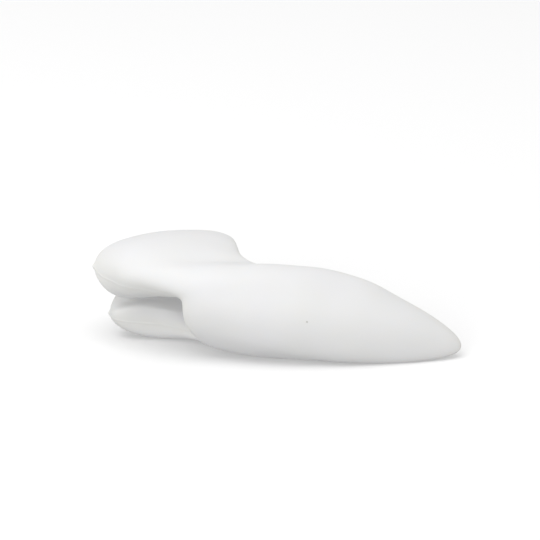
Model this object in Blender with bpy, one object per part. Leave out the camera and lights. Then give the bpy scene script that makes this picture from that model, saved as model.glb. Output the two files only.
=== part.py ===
"""A bunion sleeve: one moulding of soft silicone gel, in metres, resting on its lower side.

The big toe goes through the loop along X. The hourglass spreader lies beside the loop at the far side (+Y),
and the long hollow shield covers the joint at the near side (-Y) and runs out to a low tip at +X.

The whole wall is one closed grid. One direction of the grid goes round the toe, from rib to rib, and the
other goes round the section of the wall along a rib: out along the outer face to the heel's end of the rib,
round its rim, and back along the inner face.
"""

from typing import NamedTuple

import bpy
import numpy as np

# Toe loop
TOE_HOLE_WIDTH = 0.0165
TOE_AXIS_HEIGHT = 0.01225

# Toe spreader
SPREADER_LENGTH = 0.0345
SPREADER_DEPTH = 0.0245
SPREADER_RISE = 0.01225
LOBE_WALL = 0.0150

# Bunion shield
SHIELD_SETBACK = 0.0215
SHIELD_LENGTH = 0.0660
SHIELD_HEIGHT = 0.0225
SHIELD_CURL = 0.0105
SHIELD_BULGE = 0.0055
SHIELD_WALL = 0.0048

# Grid
COLUMNS_PER_RIB = 4
ROWS_ROUND_WALL = 44

# Finish
GEL_COLOUR = (0.84, 0.84, 0.83, 1.0)
GEL_ROUGHNESS = 0.5


class End(NamedTuple):
    """One end of a rib: the middle of the wall there, the way its outer face looks, and its thickness.

    Facing is in degrees round the toe: 0 is the near side, 90 is up, 180 is the far side and 270 is down.
    """

    along: float
    depth: float
    height: float
    facing: float
    wall: float


class Rib(NamedTuple):
    """A section of the wall between its toe end and its heel end, bowed outwards by its bulge.

    Fullness is the power of its superellipse: 2 has round rims, and a higher one has flatter faces.
    """

    toe: End
    heel: End
    fullness: float
    bulge: float = 0.0


# Along is in SHIELD_LENGTH from the setback, depth in SHIELD_CURL behind the near side, height in
# SHIELD_HEIGHT over the ground, wall in SHIELD_WALL and bulge in SHIELD_BULGE.
SHIELD_RIBS = (
    Rib(End(0.105, 0.62, 0.082, -62, 0.80), End(0.330, 0.64, 0.078, -80, 0.80), fullness=2.8, bulge=0.10),
    Rib(End(0.075, 0.38, 0.135, -48, 0.85), End(0.450, 0.38, 0.066, -72, 0.78), fullness=3.0, bulge=0.25),
    Rib(End(0.042, 0.18, 0.215, -36, 0.90), End(0.620, 0.22, 0.052, -64, 0.76), fullness=3.0, bulge=0.40),
    Rib(End(0.018, 0.06, 0.325, -24, 0.95), End(0.800, 0.13, 0.040, -54, 0.78), fullness=3.0, bulge=0.62),
    Rib(End(0.008, 0.015, 0.42, -12, 1.00), End(0.968, 0.13, 0.020, -38, 0.85), fullness=3.0, bulge=0.85),
    Rib(End(0.004, 0.00, 0.510, 0, 1.00), End(1.000, 0.26, 0.125, -10, 0.88), fullness=3.0, bulge=0.98),
    Rib(End(0.002, 0.02, 0.590, 15, 1.05), End(0.932, 0.42, 0.310, 18, 0.88), fullness=3.0, bulge=0.96),
    Rib(End(-0.015, 0.10, 0.640, 28, 1.30), End(0.790, 0.60, 0.550, 35, 0.80), fullness=3.0, bulge=0.80),
    Rib(End(-0.070, 0.28, 0.650, 42, 1.95), End(0.645, 0.67, 0.750, 45, 0.80), fullness=2.8, bulge=0.58),
    Rib(End(-0.150, 0.50, 0.660, 56, 2.35), End(0.490, 0.73, 0.850, 56, 0.80), fullness=2.6, bulge=0.30),
    Rib(End(-0.215, 0.71, 0.665, 68, 2.68), End(0.318, 0.80, 0.855, 68, 0.80), fullness=2.5, bulge=0.10),
)

# Along is in SPREADER_LENGTH, depth in SPREADER_DEPTH behind the toe's axis, height in SPREADER_RISE over
# the axis and wall in LOBE_WALL.
SPREADER_RIBS = (
    Rib(End(0.130, -0.02, 0.25, 80, 1.00), End(1.055, 0.02, 0.67, 84, 0.30), fullness=2.4),
    Rib(End(0.067, 0.08, 0.27, 96, 1.11), End(1.010, 0.18, 0.72, 100, 0.38), fullness=2.3),
    Rib(End(0.020, 0.19, 0.32, 115, 1.08), End(0.990, 0.38, 0.75, 120, 0.52), fullness=2.3),
    Rib(End(0.000, 0.29, 0.36, 134, 1.00), End(0.980, 0.55, 0.63, 138, 0.80), fullness=2.3),
    Rib(End(0.023, 0.38, 0.29, 152, 0.95), End(0.968, 0.67, 0.46, 155, 0.97), fullness=2.3),
    Rib(End(0.075, 0.42, 0.16, 167, 0.85), End(0.930, 0.69, 0.23, 168, 0.92), fullness=2.2),
    Rib(End(0.145, 0.40, 0.00, 180, 0.63), End(0.870, 0.60, 0.00, 180, 0.62), fullness=2.2),
    Rib(End(0.174, 0.42, -0.17, 193, 0.78), End(0.928, 0.69, -0.22, 192, 0.92), fullness=2.2),
    Rib(End(0.128, 0.39, -0.40, 208, 0.85), End(0.968, 0.67, -0.47, 205, 0.97), fullness=2.2),
    Rib(End(0.107, 0.30, -0.58, 226, 0.83), End(0.991, 0.55, -0.66, 222, 0.77), fullness=2.2),
    Rib(End(0.125, 0.19, -0.64, 245, 0.78), End(1.010, 0.38, -0.78, 240, 0.50), fullness=2.2),
    Rib(End(0.240, 0.12, -0.68, 262, 0.66), End(1.040, 0.18, -0.84, 260, 0.32), fullness=2.3),
    Rib(End(0.545, 0.05, -0.74, 278, 0.40), End(1.080, 0.02, -0.84, 276, 0.27), fullness=2.5),
)


def shield_end(end):
    """The end of a shield rib, in metres and degrees."""
    near_side = -(TOE_HOLE_WIDTH + SHIELD_WALL) / 2
    return End(
        SHIELD_SETBACK + end.along * SHIELD_LENGTH,
        near_side + end.depth * SHIELD_CURL,
        end.height * SHIELD_HEIGHT,
        end.facing,
        end.wall * SHIELD_WALL,
    )


def spreader_end(end):
    """The end of a rib of the loop or the spreader, in metres and degrees."""
    return End(
        end.along * SPREADER_LENGTH,
        end.depth * SPREADER_DEPTH,
        TOE_AXIS_HEIGHT + end.height * SPREADER_RISE,
        end.facing,
        end.wall * LOBE_WALL,
    )


def sleeve_ribs():
    """All ribs once round the toe, in metres and degrees."""
    shield = [
        Rib(shield_end(rib.toe), shield_end(rib.heel), rib.fullness, rib.bulge * SHIELD_BULGE)
        for rib in SHIELD_RIBS
    ]
    spreader = [Rib(spreader_end(rib.toe), spreader_end(rib.heel), rib.fullness) for rib in SPREADER_RIBS]
    return shield + spreader


def closed_spline(values, steps):
    """A closed curve through the rows of values, smooth to its second derivative, at this many steps a row."""
    rows = len(values)
    ahead = np.roll(values, -1, axis=0)
    behind = np.roll(values, 1, axis=0)
    identity = np.eye(rows)
    system = 4 * identity + np.roll(identity, 1, axis=1) + np.roll(identity, -1, axis=1)
    slopes = np.linalg.solve(system, 3 * (ahead - behind))
    share = (np.arange(steps) / steps)[None, :, None]
    curve = (
        (2 * share**3 - 3 * share**2 + 1) * values[:, None]
        + (share**3 - 2 * share**2 + share) * slopes[:, None]
        + (3 * share**2 - 2 * share**3) * ahead[:, None]
        + (share**3 - share**2) * np.roll(slopes, -1, axis=0)[:, None]
    )
    return curve.reshape(rows * steps, -1)


def smooth_ends(ends, steps):
    """The ends of every column of the grid. Their facing gains one full turn on the way round."""
    values = np.array(ends)
    facing = End._fields.index("facing")
    values[:, facing] -= np.linspace(0, 360, len(values), endpoint=False)
    columns = closed_spline(values, steps)
    columns[:, facing] += np.linspace(0, 360, len(columns), endpoint=False)
    return columns


def signed_power(values, power):
    """The values' sizes raised to the power, with their signs kept."""
    return np.sign(values) * np.abs(values) ** power


def sleeve_grid(columns_per_rib, rows_round_wall):
    """The points of the closed grid: columns round the toe, rows round the wall's section.

    Each section is a superellipse on the line from the rib's toe end to its heel end, bowed by its bulge and
    as thick as its wall. The closed spline joins the values of neighbouring ribs.
    """
    ribs = sleeve_ribs()
    toe_ends = smooth_ends([rib.toe for rib in ribs], columns_per_rib)[:, None]
    heel_ends = smooth_ends([rib.heel for rib in ribs], columns_per_rib)[:, None]
    bulge = closed_spline(np.array([[rib.bulge] for rib in ribs]), columns_per_rib)
    fullness = closed_spline(np.array([[rib.fullness] for rib in ribs]), columns_per_rib)
    angle = np.linspace(0, 2 * np.pi, rows_round_wall, endpoint=False)[None, :]
    lengthwise = signed_power(np.cos(angle), 2 / fullness)
    crosswise = signed_power(np.sin(angle), 2 / fullness)
    heel_share = ((1 + lengthwise) / 2)[..., None]
    middle = toe_ends * (1 - heel_share) + heel_ends * heel_share
    along, depth, height, facing, wall = np.moveaxis(middle, -1, 0)
    outward = bulge * (1 - lengthwise**2) + crosswise * wall / 2
    facing = np.radians(facing)
    return np.stack([along, depth - outward * np.cos(facing), height + outward * np.sin(facing)], axis=-1)


def closed_mesh(name, grid):
    """A mesh of quads over a grid that closes on itself both ways."""
    columns, rows = grid.shape[:2]
    index = np.arange(columns * rows).reshape(columns, rows)
    next_column = np.roll(index, -1, axis=0)
    next_row = np.roll(index, -1, axis=1)
    diagonal = np.roll(next_column, -1, axis=1)
    faces = np.stack([index, next_column, diagonal, next_row], axis=-1).reshape(-1, 4)
    mesh = bpy.data.meshes.new(name)
    mesh.from_pydata(grid.reshape(-1, 3).tolist(), [], faces.tolist())
    mesh.shade_smooth()
    return mesh


def gel_material():
    """White silicone gel with a satin moulded face."""
    material = bpy.data.materials.new("silicone_gel")
    material.use_nodes = True
    shader = material.node_tree.nodes["Principled BSDF"]
    shader.inputs["Base Color"].default_value = GEL_COLOUR
    shader.inputs["Roughness"].default_value = GEL_ROUGHNESS
    shader.inputs["Metallic"].default_value = 0.0
    return material


def main():
    for leftover in list(bpy.data.objects):
        bpy.data.objects.remove(leftover)
    grid = sleeve_grid(COLUMNS_PER_RIB, ROWS_ROUND_WALL)
    low, high = grid.min(axis=(0, 1)), grid.max(axis=(0, 1))
    grid = grid - np.array([(low[0] + high[0]) / 2, (low[1] + high[1]) / 2, low[2]])
    mesh = closed_mesh("gel_sleeve", grid)
    mesh.materials.append(gel_material())
    sleeve = bpy.data.objects.new("gel_sleeve", mesh)
    bpy.context.scene.collection.objects.link(sleeve)


main()
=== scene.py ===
"""The looks of a bunion sleeve: one satin moulding of white silicone gel, lying on its lower side.

The moulding is a closed surface over two parameters. One goes round the toe, from rib to rib, and
the other round the section of the wall. The mould leaves two gate nibs at the toe ends of the lobes
and a fine flash line along the rims.
"""

import logging
from dataclasses import dataclass
from enum import Enum
from typing import Any, NamedTuple

import bpy
import numpy as np
from mathutils import Matrix, Vector
from mathutils.bvhtree import BVHTree


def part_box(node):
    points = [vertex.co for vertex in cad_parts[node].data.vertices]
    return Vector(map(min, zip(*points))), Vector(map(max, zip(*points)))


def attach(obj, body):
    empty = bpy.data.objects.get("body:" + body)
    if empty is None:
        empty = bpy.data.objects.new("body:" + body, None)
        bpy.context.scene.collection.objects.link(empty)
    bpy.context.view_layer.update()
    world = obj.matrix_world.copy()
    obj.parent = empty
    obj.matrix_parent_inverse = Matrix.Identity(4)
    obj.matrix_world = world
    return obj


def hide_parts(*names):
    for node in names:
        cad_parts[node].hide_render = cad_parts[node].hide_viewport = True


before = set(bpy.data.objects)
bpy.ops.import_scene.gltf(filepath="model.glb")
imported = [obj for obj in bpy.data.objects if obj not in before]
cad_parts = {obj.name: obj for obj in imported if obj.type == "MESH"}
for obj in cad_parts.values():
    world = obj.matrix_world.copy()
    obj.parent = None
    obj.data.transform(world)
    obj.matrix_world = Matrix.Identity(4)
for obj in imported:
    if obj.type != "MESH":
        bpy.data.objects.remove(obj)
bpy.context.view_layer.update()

MM = 0.001
# The pixel of the photo that shows a fleck of dust on the shield: from the left, and from the top.
FLECK_PIXEL = (307.0, 322.0)
log = logging.getLogger("bunion_sleeve")


class End(NamedTuple):
    """One end of a rib: the middle of the wall there, the way its outer face looks, and its thickness.

    Facing is in degrees round the toe: 0 is the near side, 90 is up, 180 is the far side and 270 is
    down.
    """

    along: float
    depth: float
    height: float
    facing: float
    wall: float


class Rib(NamedTuple):
    """A section of the wall between its toe end and its heel end, bowed outwards by its bulge.

    Fullness is the power of its superellipse: 2 has round rims, and a higher one has flatter faces.
    """

    toe: End
    heel: End
    fullness: float
    bulge: float = 0.0


# Along is in shield lengths from the setback, depth in shield curls behind the near side, height in
# shield heights over the ground, wall in shield walls and bulge in shield bulges.
SHIELD_RIBS = (
    Rib(End(0.105, 0.62, 0.082, -62, 0.80), End(0.330, 0.64, 0.078, -80, 0.80), fullness=2.8, bulge=0.10),
    Rib(End(0.075, 0.38, 0.135, -48, 0.85), End(0.450, 0.38, 0.066, -72, 0.78), fullness=3.0, bulge=0.25),
    Rib(End(0.042, 0.18, 0.215, -36, 0.90), End(0.620, 0.22, 0.052, -64, 0.76), fullness=3.0, bulge=0.40),
    Rib(End(0.018, 0.06, 0.325, -24, 0.95), End(0.800, 0.13, 0.040, -54, 0.78), fullness=3.0, bulge=0.62),
    Rib(End(0.008, 0.015, 0.42, -12, 1.00), End(0.968, 0.13, 0.020, -38, 0.85), fullness=3.0, bulge=0.85),
    Rib(End(0.004, 0.00, 0.510, 0, 1.00), End(1.000, 0.26, 0.125, -10, 0.88), fullness=3.0, bulge=0.98),
    Rib(End(0.002, 0.02, 0.590, 15, 1.05), End(0.932, 0.42, 0.310, 18, 0.88), fullness=3.0, bulge=0.96),
    Rib(End(-0.015, 0.10, 0.640, 28, 1.30), End(0.790, 0.60, 0.550, 35, 0.80), fullness=3.0, bulge=0.80),
    Rib(End(-0.070, 0.28, 0.650, 42, 1.95), End(0.645, 0.67, 0.750, 45, 0.80), fullness=2.8, bulge=0.58),
    Rib(End(-0.150, 0.50, 0.660, 56, 2.35), End(0.490, 0.73, 0.850, 56, 0.80), fullness=2.6, bulge=0.30),
    Rib(End(-0.215, 0.71, 0.665, 68, 2.68), End(0.318, 0.80, 0.855, 68, 0.80), fullness=2.5, bulge=0.10),
)

# Along is in spreader lengths, depth in spreader depths behind the toe's axis, height in spreader
# rises over the axis and wall in lobe walls.
SPREADER_RIBS = (
    Rib(End(0.130, -0.02, 0.25, 80, 1.00), End(1.055, 0.02, 0.67, 84, 0.30), fullness=2.4),
    Rib(End(0.067, 0.08, 0.27, 96, 1.11), End(1.010, 0.18, 0.72, 100, 0.38), fullness=2.3),
    Rib(End(0.020, 0.19, 0.32, 115, 1.08), End(0.990, 0.38, 0.75, 120, 0.52), fullness=2.3),
    Rib(End(0.000, 0.29, 0.36, 134, 1.00), End(0.980, 0.55, 0.63, 138, 0.80), fullness=2.3),
    Rib(End(0.023, 0.38, 0.29, 152, 0.95), End(0.968, 0.67, 0.46, 155, 0.97), fullness=2.3),
    Rib(End(0.075, 0.42, 0.16, 167, 0.85), End(0.930, 0.69, 0.23, 168, 0.92), fullness=2.2),
    Rib(End(0.145, 0.40, 0.00, 180, 0.63), End(0.870, 0.60, 0.00, 180, 0.62), fullness=2.2),
    Rib(End(0.174, 0.42, -0.17, 193, 0.78), End(0.928, 0.69, -0.22, 192, 0.92), fullness=2.2),
    Rib(End(0.128, 0.39, -0.40, 208, 0.85), End(0.968, 0.67, -0.47, 205, 0.97), fullness=2.2),
    Rib(End(0.107, 0.30, -0.58, 226, 0.83), End(0.991, 0.55, -0.66, 222, 0.77), fullness=2.2),
    Rib(End(0.125, 0.19, -0.64, 245, 0.78), End(1.010, 0.38, -0.78, 240, 0.50), fullness=2.2),
    Rib(End(0.240, 0.12, -0.68, 262, 0.66), End(1.040, 0.18, -0.84, 260, 0.32), fullness=2.3),
    Rib(End(0.545, 0.05, -0.74, 278, 0.40), End(1.080, 0.02, -0.84, 276, 0.27), fullness=2.5),
)


def linear_colour(code: str) -> tuple[float, float, float, float]:
    """An sRGB hex colour as linear values, by the sRGB curve: straight near black, a power above.

    Args:
        code: six hex digits after a hash.

    Returns:
        Red, green, blue and an alpha of 1.
    """
    shares = np.array([int(code[i : i + 2], 16) for i in (1, 3, 5)]) / 255
    linear = np.where(shares <= 0.04045, shares / 12.92, ((shares + 0.055) / 1.055) ** 2.4)
    return (*linear.tolist(), 1.0)


def signed_power(values: np.ndarray, power: np.ndarray) -> np.ndarray:
    """The values' sizes raised to the power, with their signs kept."""
    return np.sign(values) * np.abs(values) ** power


def bell(points: np.ndarray, crests: np.ndarray, width: float) -> np.ndarray:
    """A bump that falls off with the distance from its crests: exp(-(distance / width) squared)."""
    return np.exp(-((np.linalg.norm(points - crests, axis=-1) / width) ** 2))


def closed_spline(values: np.ndarray, steps: int) -> np.ndarray:
    """A closed curve through the rows of values, smooth to its second derivative.

    Each stretch is a cubic in Hermite form. Its slopes solve slope before + 4 slope + slope after
    = 3 (value after - value before).

    Args:
        values: a row of values for each point that the curve goes through.
        steps: how many rows are read from each stretch.

    Returns:
        The rows along the curve.
    """
    rows = len(values)
    ahead = np.roll(values, -1, axis=0)
    behind = np.roll(values, 1, axis=0)
    identity = np.eye(rows)
    system = 4 * identity + np.roll(identity, 1, axis=1) + np.roll(identity, -1, axis=1)
    slopes = np.linalg.solve(system, 3 * (ahead - behind))
    share = (np.arange(steps) / steps)[None, :, None]
    curve = (
        (2 * share**3 - 3 * share**2 + 1) * values[:, None]
        + (share**3 - 2 * share**2 + share) * slopes[:, None]
        + (3 * share**2 - 2 * share**3) * ahead[:, None]
        + (share**3 - share**2) * np.roll(slopes, -1, axis=0)[:, None]
    )
    return curve.reshape(rows * steps, -1)


def grid_normals(grid: np.ndarray) -> np.ndarray:
    """Unit normals of a grid that closes both ways: the cross product of its central differences.

    Args:
        grid: points by column and row.

    Returns:
        Normals by column and row, pointing outwards.
    """
    round_toe = np.roll(grid, -1, axis=0) - np.roll(grid, 1, axis=0)
    round_wall = np.roll(grid, -1, axis=1) - np.roll(grid, 1, axis=1)
    normals = np.cross(round_toe, round_wall)
    return normals / np.linalg.norm(normals, axis=-1, keepdims=True)


def add_node(
    tree: bpy.types.NodeTree, kind: str, inputs: dict[str | int, Any], **settings: Any
) -> bpy.types.Node:
    """Adds a node with its settings and links.

    Args:
        tree: the node tree.
        kind: the node's type.
        inputs: for each input's name or index, a value, or the output socket that feeds it.
        settings: attributes of the node.

    Returns:
        The new node.
    """
    node = tree.nodes.new(kind)
    for name, value in settings.items():
        setattr(node, name, value)
    for name, value in inputs.items():
        if isinstance(value, bpy.types.NodeSocket):
            tree.links.new(value, node.inputs[name])
        else:
            node.inputs[name].default_value = value
    return node


@dataclass(frozen=True)
class SiliconeGel:
    """White platinum-cured silicone gel, cast in a mould with a spark-eroded face.

    The eroded face gives the satin look: a fine even grain that takes away every sharp highlight.
    The pigment makes it milky, so shade is soft. A warm tint painted on the thin rims stands in for
    the light that shines through them. The tacky face holds a fleck of dust.
    """

    body_colour: str = "#E3E3E4"
    cloud_and_rim_light_colour: str = "#E1E1DC"
    fleck_colour: str = "#B4B2AE"
    ior: float = 1.41
    roughness: float = 0.52
    roughness_range: float = 0.06
    # This share of the light goes into the gel and comes out near by. Red goes furthest, blue least.
    milkiness: float = 0.3
    spread: float = 1.2 * MM
    spread_by_colour: tuple[float, float, float] = (1.0, 0.9, 0.8)
    # The real grain is about 0.05 mm, too fine to show, so it is drawn this coarse.
    grain: float = 0.35 * MM
    grain_depth: float = 0.012 * MM
    # Shrinkage of the thick gel leaves shallow waves of about this length.
    shrink_wave: float = 4.0 * MM
    shrink_depth: float = 0.05 * MM
    # Uneven pigment leaves faint clouds. The noise levels are where a cloud begins and is whole.
    cloud: float = 14.0 * MM
    cloud_levels: tuple[float, float] = (0.35, 0.75)
    cloud_warmth: float = 0.4
    # A warm tint painted on the thin rims, standing in for the light that shines through the gel there.
    painted_rim_light: float = 0.6
    # Hands rub patches of the face a little shinier.
    rubbed_patch: float = 8.4 * MM
    rubbed_levels: tuple[float, float] = (0.3, 0.7)
    # The fleck's edge fades out at this many radii, and its middle hides this share of the gel.
    fleck_radius: float = 0.28 * MM
    fleck_fade: float = 1.6
    fleck_cover: float = 0.75

    def material(self, flecks: list[Vector]) -> bpy.types.Material:
        """Builds the material.

        Args:
            flecks: where a fleck of dust sits on the surface, in the frame.

        Returns:
            The material.
        """
        material = bpy.data.materials.new("white_silicone_gel")
        material.use_nodes = True
        tree = material.node_tree
        shader = tree.nodes["Principled BSDF"]
        place = add_node(tree, "ShaderNodeTexCoord", {}).outputs["Object"]
        rim = add_node(tree, "ShaderNodeAttribute", {}, attribute_name="rim").outputs["Fac"]
        tree.links.new(self._colour(tree, place, rim, flecks), shader.inputs["Base Color"])
        tree.links.new(self._roughness(tree, place), shader.inputs["Roughness"])
        tree.links.new(self._relief(tree, place), shader.inputs["Normal"])
        shader.inputs["IOR"].default_value = self.ior
        shader.inputs["Metallic"].default_value = 0.0
        shader.inputs["Subsurface Weight"].default_value = self.milkiness
        shader.inputs["Subsurface Radius"].default_value = self.spread_by_colour
        shader.inputs["Subsurface Scale"].default_value = self.spread
        return material

    def _colour(
        self,
        tree: bpy.types.NodeTree,
        place: bpy.types.NodeSocket,
        rim: bpy.types.NodeSocket,
        flecks: list[Vector],
    ) -> bpy.types.NodeSocket:
        """The white of the gel, warmer in soft clouds, with a painted warm tint of light through the thin
        rims, and the flecks on it.

        Args:
            tree: the material's nodes.
            place: the point's place.
            rim: how near the point is to a rim.
            flecks: the flecks' places.

        Returns:
            The colour.
        """
        clouds = add_node(
            tree, "ShaderNodeTexNoise", {"Vector": place, "Scale": 1 / self.cloud, "Detail": 2.0}
        )
        cloud_share = add_node(
            tree,
            "ShaderNodeMapRange",
            {
                "Value": clouds.outputs["Fac"],
                "From Min": self.cloud_levels[0],
                "From Max": self.cloud_levels[1],
                "To Min": 0.0,
                "To Max": self.cloud_warmth,
            },
        )
        # Painted light: the thin rims get a warm tint for the light that shines through them.
        rim_share = add_node(
            tree, "ShaderNodeMath", {0: rim, 1: self.painted_rim_light}, operation="MULTIPLY"
        )
        warmth = add_node(
            tree,
            "ShaderNodeMath",
            {0: cloud_share.outputs["Result"], 1: rim_share.outputs["Value"]},
            operation="MAXIMUM",
        )
        colour = add_node(
            tree,
            "ShaderNodeMix",
            {
                "Factor": warmth.outputs["Value"],
                "A": linear_colour(self.body_colour),
                "B": linear_colour(self.cloud_and_rim_light_colour),
            },
            data_type="RGBA",
        ).outputs["Result"]
        for spot in flecks:
            colour = self._fleck(tree, place, colour, spot)
        return colour

    def _fleck(
        self,
        tree: bpy.types.NodeTree,
        place: bpy.types.NodeSocket,
        colour: bpy.types.NodeSocket,
        spot: Vector,
    ) -> bpy.types.NodeSocket:
        """One fleck of dust painted over a colour, its edge made uneven by noise.

        Args:
            tree: the material's nodes.
            place: the point's place.
            colour: the colour under the fleck.
            spot: the fleck's place.

        Returns:
            The colour with the fleck on it.
        """
        ragged = add_node(
            tree, "ShaderNodeTexNoise", {"Vector": place, "Scale": 1 / (2 * self.fleck_radius)}
        )
        distance = add_node(
            tree, "ShaderNodeVectorMath", {0: place, 1: tuple(spot)}, operation="DISTANCE"
        ).outputs["Value"]
        uneven = add_node(
            tree,
            "ShaderNodeMath",
            {0: ragged.outputs["Fac"], 1: self.fleck_radius, 2: distance},
            operation="MULTIPLY_ADD",
        )
        cover = add_node(
            tree,
            "ShaderNodeMapRange",
            {
                "Value": uneven.outputs["Value"],
                "From Min": self.fleck_radius,
                "From Max": self.fleck_fade * self.fleck_radius,
                "To Min": self.fleck_cover,
                "To Max": 0.0,
            },
        )
        painted = add_node(
            tree,
            "ShaderNodeMix",
            {"Factor": cover.outputs["Result"], "A": colour, "B": linear_colour(self.fleck_colour)},
            data_type="RGBA",
        )
        return painted.outputs["Result"]

    def _roughness(
        self, tree: bpy.types.NodeTree, place: bpy.types.NodeSocket
    ) -> bpy.types.NodeSocket:
        """Satin, a little shinier in patches where hands have rubbed it.

        Args:
            tree: the material's nodes.
            place: the point's place.

        Returns:
            The roughness.
        """
        rubbed = add_node(
            tree, "ShaderNodeTexNoise", {"Vector": place, "Scale": 1 / self.rubbed_patch, "Detail": 3.0}
        )
        level = add_node(
            tree,
            "ShaderNodeMapRange",
            {
                "Value": rubbed.outputs["Fac"],
                "From Min": self.rubbed_levels[0],
                "From Max": self.rubbed_levels[1],
                "To Min": self.roughness - self.roughness_range,
                "To Max": self.roughness + self.roughness_range,
            },
        )
        return level.outputs["Result"]

    def _relief(self, tree: bpy.types.NodeTree, place: bpy.types.NodeSocket) -> bpy.types.NodeSocket:
        """The shrinkage waves, with the grain of the mould's face on top.

        Args:
            tree: the material's nodes.
            place: the point's place.

        Returns:
            The bumped normal.
        """
        waves = add_node(
            tree, "ShaderNodeTexNoise", {"Vector": place, "Scale": 1 / self.shrink_wave, "Detail": 1.0}
        )
        wavy = add_node(
            tree, "ShaderNodeBump", {"Height": waves.outputs["Fac"], "Distance": self.shrink_depth}
        )
        grain = add_node(
            tree, "ShaderNodeTexNoise", {"Vector": place, "Scale": 1 / self.grain, "Detail": 2.0}
        )
        grainy = add_node(
            tree,
            "ShaderNodeBump",
            {
                "Height": grain.outputs["Fac"],
                "Distance": self.grain_depth,
                "Normal": wavy.outputs["Normal"],
            },
        )
        return grainy.outputs["Normal"]


class Rim(Enum):
    """A rim of the wall. Its value is how far round the wall's section its crest lies."""

    HEEL = 0.0
    TOE = 0.5


@dataclass(frozen=True)
class GateNib:
    """A stub where the gel was let into the mould: a small bump on the rim at an end of a lobe.

    Attributes:
        turn: which rib it sits on, counted round the toe.
        rim: which rim it sits on.
        height: how far it stands out.
        radius: how far out its foot spreads.
    """

    turn: float
    rim: Rim = Rim.TOE
    height: float = 0.45 * MM
    radius: float = 0.75 * MM


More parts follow.
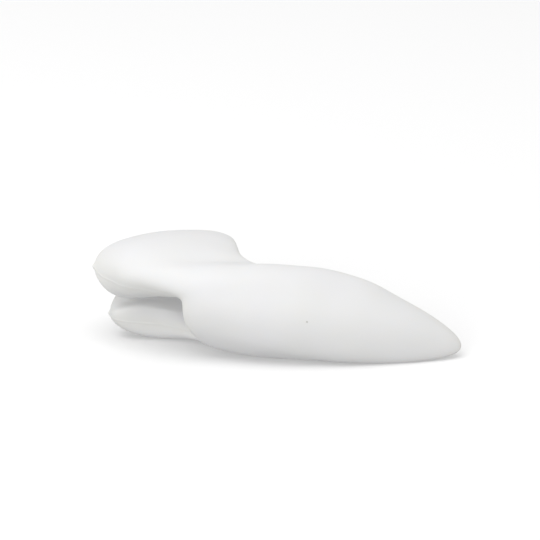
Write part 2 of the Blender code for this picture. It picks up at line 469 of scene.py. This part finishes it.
@dataclass
class GelMoulding:
    """The whole sleeve as one closed surface: toe loop, hourglass spreader and hollow shield."""

    node: str = "gel_sleeve"
    toe_hole_width: float = 16.5 * MM
    toe_axis_height: float = 12.25 * MM
    spreader_length: float = 34.5 * MM
    spreader_depth: float = 24.5 * MM
    spreader_rise: float = 12.25 * MM
    lobe_wall: float = 15.0 * MM
    shield_setback: float = 21.5 * MM
    shield_length: float = 66.0 * MM
    shield_height: float = 22.5 * MM
    shield_curl: float = 10.5 * MM
    shield_bulge: float = 5.5 * MM
    shield_wall: float = 4.8 * MM
    columns_per_rib: int = 16
    rows_round_wall: int = 240
    rim_crowding: float = 0.35
    # The painted warm tint of light through the rims keeps near the crest: a higher power keeps it
    # nearer.
    rim_power: int = 6
    flash_height: float = 0.07 * MM
    flash_width: float = 0.22 * MM
    # Long waves of sag slant across the sleeve and change with height. Ripples cross them.
    sag_wave: float = 23.0 * MM
    sag_depth: float = 0.10 * MM
    sag_slant: float = 0.7
    sag_lift: float = 0.8
    ripple_pace: float = 1.9
    ripple_share: float = 0.5
    sag_start: float = 1.3
    ripple_start: float = 0.4
    sag_fade_height: float = 3.0 * MM
    nibs: tuple[GateNib, ...] = (GateNib(turn=14.0), GateNib(turn=20.2))

    def build(self) -> bpy.types.Object:
        """Builds the moulding in place of its plain solid.

        Returns:
            The finished piece, without its material.
        """
        angle = self._angles()
        grid = self._seated(self._surface(angle))
        grid = grid + grid_normals(grid) * self._relief(grid)[..., None]
        piece = self._mesh_object("gel_moulding", grid, self._rim_share(angle, len(grid)))
        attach(piece, "root")
        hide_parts(self.node)
        return piece

    def dress(self, piece: bpy.types.Object, finish: bpy.types.Material) -> None:
        """Gives the moulding its finish."""
        piece.data.materials.append(finish)

    def _shield_end(self, end: End) -> End:
        """The end of a shield rib.

        Args:
            end: the end, in shares of the shield's sizes.

        Returns:
            The end in metres and degrees.
        """
        near_side = -(self.toe_hole_width + self.shield_wall) / 2
        return End(
            self.shield_setback + end.along * self.shield_length,
            near_side + end.depth * self.shield_curl,
            end.height * self.shield_height,
            end.facing,
            end.wall * self.shield_wall,
        )

    def _spreader_end(self, end: End) -> End:
        """The end of a rib of the loop or the spreader.

        Args:
            end: the end, in shares of the spreader's sizes.

        Returns:
            The end in metres and degrees.
        """
        return End(
            end.along * self.spreader_length,
            end.depth * self.spreader_depth,
            self.toe_axis_height + end.height * self.spreader_rise,
            end.facing,
            end.wall * self.lobe_wall,
        )

    def _ribs(self) -> list[Rib]:
        """All ribs once round the toe.

        Returns:
            The ribs in metres and degrees, the shield's first.
        """
        shield = [
            Rib(
                self._shield_end(rib.toe),
                self._shield_end(rib.heel),
                rib.fullness,
                rib.bulge * self.shield_bulge,
            )
            for rib in SHIELD_RIBS
        ]
        spreader = [
            Rib(self._spreader_end(rib.toe), self._spreader_end(rib.heel), rib.fullness)
            for rib in SPREADER_RIBS
        ]
        return shield + spreader

    def _smooth_ends(self, ends: list[End]) -> np.ndarray:
        """The ends of every column. Their facing gains one full turn on the way round the toe.

        Args:
            ends: the ribs' ends.

        Returns:
            A row of an end's values for each column.
        """
        values = np.array(ends)
        facing = End._fields.index("facing")
        values[:, facing] -= np.linspace(0, 360, len(values), endpoint=False)
        columns = closed_spline(values, self.columns_per_rib)
        columns[:, facing] += np.linspace(0, 360, len(columns), endpoint=False)
        return columns

    def _angles(self) -> np.ndarray:
        """Angles round the wall's section: 0 is the heel rim, half a turn the toe rim.

        The rows crowd towards both rims, where the section bends most:
        angle = turn - crowding x sin(2 turn).

        Returns:
            The angles as one row.
        """
        turn = np.linspace(0, 2 * np.pi, self.rows_round_wall, endpoint=False)[None, :]
        return turn - self.rim_crowding * np.sin(2 * turn)

    def _surface(self, angle: np.ndarray) -> np.ndarray:
        """The moulding's surface over its two parameters.

        Each section is a superellipse. Its long direction runs from the rib's toe end to its heel
        end: position = toe end x (1 - share) + heel end x share, with
        share = (1 + cos^(2/fullness)) / 2. Across it the surface stands off by
        bulge x (1 - cos^(4/fullness)) + wall / 2 x sin^(2/fullness), the way that the wall faces.

        Args:
            angle: the angles round the section, as one row.

        Returns:
            Points by column and row.
        """
        ribs = self._ribs()
        toe_ends = self._smooth_ends([rib.toe for rib in ribs])[:, None]
        heel_ends = self._smooth_ends([rib.heel for rib in ribs])[:, None]
        bulge = closed_spline(np.array([[rib.bulge] for rib in ribs]), self.columns_per_rib)
        fullness = closed_spline(np.array([[rib.fullness] for rib in ribs]), self.columns_per_rib)
        lengthwise = signed_power(np.cos(angle), 2 / fullness)
        crosswise = signed_power(np.sin(angle), 2 / fullness)
        heel_share = ((1 + lengthwise) / 2)[..., None]
        middle = toe_ends * (1 - heel_share) + heel_ends * heel_share
        along, depth, height, facing, wall = np.moveaxis(middle, -1, 0)
        outward = bulge * (1 - lengthwise**2) + crosswise * wall / 2
        facing = np.radians(facing)
        back = depth - outward * np.cos(facing)
        up = height + outward * np.sin(facing)
        return np.stack([along, back, up], axis=-1)

    def _seated(self, grid: np.ndarray) -> np.ndarray:
        """The grid moved to where the frame has the plain solid: same middle, and resting as low.

        Args:
            grid: points by column and row.

        Returns:
            The moved points.
        """
        low, high = (np.array(corner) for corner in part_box(self.node))
        grid_low, grid_high = grid.min(axis=(0, 1)), grid.max(axis=(0, 1))
        shift = (low + high) / 2 - (grid_low + grid_high) / 2
        shift[2] = low[2] - grid_low[2]
        return grid + shift

    def _rim_share(self, angle: np.ndarray, columns: int) -> np.ndarray:
        """How near each point is to a rim: a power of the cosine's size, 1 on the crest."""
        return np.broadcast_to(np.abs(np.cos(angle)) ** self.rim_power, (columns, angle.shape[1]))

    def _crest_row(self, rim: Rim) -> int:
        """The row of the grid along a rim's crest."""
        return round(rim.value * self.rows_round_wall)

    def _relief(self, grid: np.ndarray) -> np.ndarray:
        """How far each point stands out from the plain form.

        It is the sum of the slight sag of soft gel, the flash line, a bell curve over the distance
        from each rim's crest, and the gate nibs, bell curves over the distance from each nib.

        Args:
            grid: the seated points.

        Returns:
            Heights by column and row.
        """
        relief = self._sag(grid)
        for rim in Rim:
            crest = grid[:, self._crest_row(rim), None]
            relief = relief + self.flash_height * bell(grid, crest, self.flash_width)
        for nib in self.nibs:
            column = round(nib.turn * self.columns_per_rib) % len(grid)
            peak = grid[column, self._crest_row(nib.rim)]
            relief = relief + nib.height * bell(grid, peak, nib.radius)
        return relief

    def _sag(self, grid: np.ndarray) -> np.ndarray:
        """The unevenness of soft gel, which fades to nothing at the ground.

        It is sin(along + slant x depth) x sin(lift x height), plus a share of
        sin(pace x along - depth), each with its own start.

        Args:
            grid: the seated points.

        Returns:
            Heights by column and row.
        """
        along, depth, height = np.moveaxis(grid * 2 * np.pi / self.sag_wave, -1, 0)
        across = np.sin(along + self.sag_slant * depth)
        waves = across * np.sin(self.sag_lift * height + self.sag_start)
        ripples = np.sin(self.ripple_pace * along - depth + self.ripple_start)
        lifted = np.clip(grid[..., 2] / self.sag_fade_height, 0, 1)
        return self.sag_depth * (waves + self.ripple_share * ripples) * lifted

    def _mesh_object(self, name: str, grid: np.ndarray, rim: np.ndarray) -> bpy.types.Object:
        """A mesh of quads over the closed grid.

        Args:
            name: the piece's name.
            grid: points by column and row.
            rim: how near each point is to a rim, kept as a point attribute for the finish.

        Returns:
            The new object, in the scene.
        """
        columns, rows = grid.shape[:2]
        index = np.arange(columns * rows, dtype=np.int32).reshape(columns, rows)
        next_column = np.roll(index, -1, axis=0)
        next_row = np.roll(index, -1, axis=1)
        diagonal = np.roll(next_column, -1, axis=1)
        quads = np.stack([index, next_column, diagonal, next_row], axis=-1)
        starts = np.arange(0, quads.size, quads.shape[-1], dtype=np.int32)
        mesh = bpy.data.meshes.new(name)
        mesh.vertices.add(columns * rows)
        mesh.vertices.foreach_set("co", grid.astype(np.float32).reshape(-1))
        mesh.loops.add(quads.size)
        mesh.loops.foreach_set("vertex_index", quads.reshape(-1))
        mesh.polygons.add(columns * rows)
        mesh.polygons.foreach_set("loop_start", starts)
        mesh.update(calc_edges=True)
        mesh.validate()
        mesh.shade_smooth()
        attribute = mesh.attributes.new("rim", "FLOAT", "POINT")
        attribute.data.foreach_set("value", rim.astype(np.float32).reshape(-1))
        piece = bpy.data.objects.new(name, mesh)
        bpy.context.scene.collection.objects.link(piece)
        return piece


@dataclass
class StudioCamera:
    """The camera at the photo's angle, far off with a long lens.

    It stands on the near side, with its elevation in degrees over the ground, and aims at the point
    that shows in the middle of the picture.
    """

    elevation: float = 18.0
    distance: float = 0.80
    aim: tuple[float, float, float] = (-1.53 * MM, 1.66 * MM, 17.66 * MM)
    picture_width: int = 540
    metres_per_pixel: float = 0.24 * MM
    sensor_width: float = 36.0
    nearest: float = 0.01
    furthest: float = 20.0

    def build(self) -> bpy.types.Object:
        """Builds the camera and makes it the scene's.

        Returns:
            The camera.
        """
        seen_width = self.picture_width * self.metres_per_pixel
        data = bpy.data.cameras.new("studio_camera")
        data.sensor_width = self.sensor_width
        data.lens = self.sensor_width * self.distance / seen_width
        data.clip_start = self.nearest
        data.clip_end = self.furthest
        camera = bpy.data.objects.new("studio_camera", data)
        camera.matrix_world = self._pose()
        bpy.context.scene.collection.objects.link(camera)
        bpy.context.scene.camera = camera
        return camera

    def ray(self, column: float, row: float) -> tuple[Vector, Vector]:
        """The ray through a pixel of the photo.

        Args:
            column: pixels from the left.
            row: pixels from the top.

        Returns:
            The camera's place and the ray's direction.
        """
        middle = self.picture_width / 2
        half_width = middle * self.metres_per_pixel / self.distance
        right = (column / middle - 1) * half_width
        up = (1 - row / middle) * half_width
        pose = self._pose()
        return pose.translation, (pose.to_3x3() @ Vector((right, up, -1.0))).normalized()

    def _pose(self) -> Matrix:
        """The camera's place and turn, looking along +Y and down by its elevation.

        Returns:
            The camera's matrix in the world.
        """
        tilt = Matrix.Rotation(np.radians(90 - self.elevation), 4, "X")
        back = tilt.to_3x3() @ Vector((0, 0, self.distance))
        return Matrix.Translation(Vector(self.aim) + back) @ tilt


@dataclass(frozen=True)
class StudioLight:
    """One big soft box: where it stands from the sleeve, its width in metres and its power in watts."""

    name: str
    place: tuple[float, float, float]
    width: float
    power: float

    def build(self, aim: Vector) -> bpy.types.Object:
        """Builds the light.

        Args:
            aim: the point that it is turned to.

        Returns:
            The light.
        """
        data = bpy.data.lights.new(self.name, "AREA")
        data.shape = "SQUARE"
        data.size = self.width
        data.energy = self.power
        light = bpy.data.objects.new(self.name, data)
        light.location = self.place
        light.rotation_euler = (aim - light.location).to_track_quat("-Z", "Y").to_euler()
        bpy.context.scene.collection.objects.link(light)
        return light


@dataclass
class Studio:
    """A pale floor under a bright even sky, with a soft box overhead and one beside the camera.

    The sky is at its full strength above the higher of the blend's two levels and at the ground's
    below the lower one. A level is the upward part of the way that one looks.
    """

    floor_width: float = 12.0
    floor_colour: str = "#FCFCFC"
    floor_roughness: float = 0.9
    sky_colour: str = "#FFFFFF"
    sky_strength: float = 0.70
    ground_strength: float = 0.50
    sky_blend: tuple[float, float] = (-0.5, 0.2)
    lights: tuple[StudioLight, ...] = (
        StudioLight("overhead_box", (-0.3, -0.25, 1.15), 1.2, 6.2),
        StudioLight("front_box", (-0.6, -1.25, 0.3), 0.9, 8.0),
    )
    light_aim: tuple[float, float, float] = (0.0, 0.0, 10.0 * MM)

    def build(self) -> None:
        """Builds the floor, the sky and the lights."""
        self._floor()
        self._sky()
        for light in self.lights:
            light.build(Vector(self.light_aim))
        bpy.context.scene.view_settings.view_transform = "Standard"

    def _floor(self) -> None:
        """A flat pale sheet under the sleeve, which throws no light up onto it."""
        half = self.floor_width / 2
        mesh = bpy.data.meshes.new("studio_floor")
        corners = [(-half, -half, 0), (half, -half, 0), (half, half, 0), (-half, half, 0)]
        mesh.from_pydata(corners, [], [(0, 1, 2, 3)])
        floor = bpy.data.objects.new("studio_floor", mesh)
        floor.visible_diffuse = False
        bpy.context.scene.collection.objects.link(floor)
        material = bpy.data.materials.new("matt_white_sheet")
        material.use_nodes = True
        shader = material.node_tree.nodes["Principled BSDF"]
        shader.inputs["Base Color"].default_value = linear_colour(self.floor_colour)
        shader.inputs["Roughness"].default_value = self.floor_roughness
        shader.inputs["Specular IOR Level"].default_value = 0.0
        mesh.materials.append(material)

    def _sky(self) -> None:
        """An even sky that is darker below the horizon."""
        world = bpy.data.worlds.new("studio_sky")
        world.use_nodes = True
        tree = world.node_tree
        tree.nodes.clear()
        direction = add_node(tree, "ShaderNodeTexCoord", {}).outputs["Generated"]
        height = add_node(tree, "ShaderNodeSeparateXYZ", {"Vector": direction}).outputs["Z"]
        strength = add_node(
            tree,
            "ShaderNodeMapRange",
            {
                "Value": height,
                "From Min": self.sky_blend[0],
                "From Max": self.sky_blend[1],
                "To Min": self.ground_strength,
                "To Max": self.sky_strength,
            },
        )
        glow = add_node(
            tree,
            "ShaderNodeBackground",
            {"Color": linear_colour(self.sky_colour), "Strength": strength.outputs["Result"]},
        )
        add_node(tree, "ShaderNodeOutputWorld", {"Surface": glow.outputs["Background"]})
        bpy.context.scene.world = world


def on_surface(piece: bpy.types.Object, camera: StudioCamera, column: float, row: float) -> Vector:
    """The point of a piece that shows at a pixel of the photo.

    Args:
        piece: the piece, at rest.
        camera: the camera that looks at it.
        column: pixels from the left.
        row: pixels from the top.

    Returns:
        The point where the pixel's ray first meets the piece.
    """
    tree = BVHTree.FromObject(piece, bpy.context.evaluated_depsgraph_get())
    start, direction = camera.ray(column, row)
    point, _, _, _ = tree.ray_cast(start, direction)
    return point


def main() -> None:
    """Builds the studio and the moulding."""
    camera = StudioCamera()
    camera.build()
    Studio().build()
    moulding = GelMoulding()
    piece = moulding.build()
    fleck = on_surface(piece, camera, *FLECK_PIXEL)
    moulding.dress(piece, SiliconeGel().material([fleck]))
    log.info("%s: %d faces", piece.name, len(piece.data.polygons))


if __name__ == "__main__":
    logging.basicConfig(level=logging.INFO)
    main()
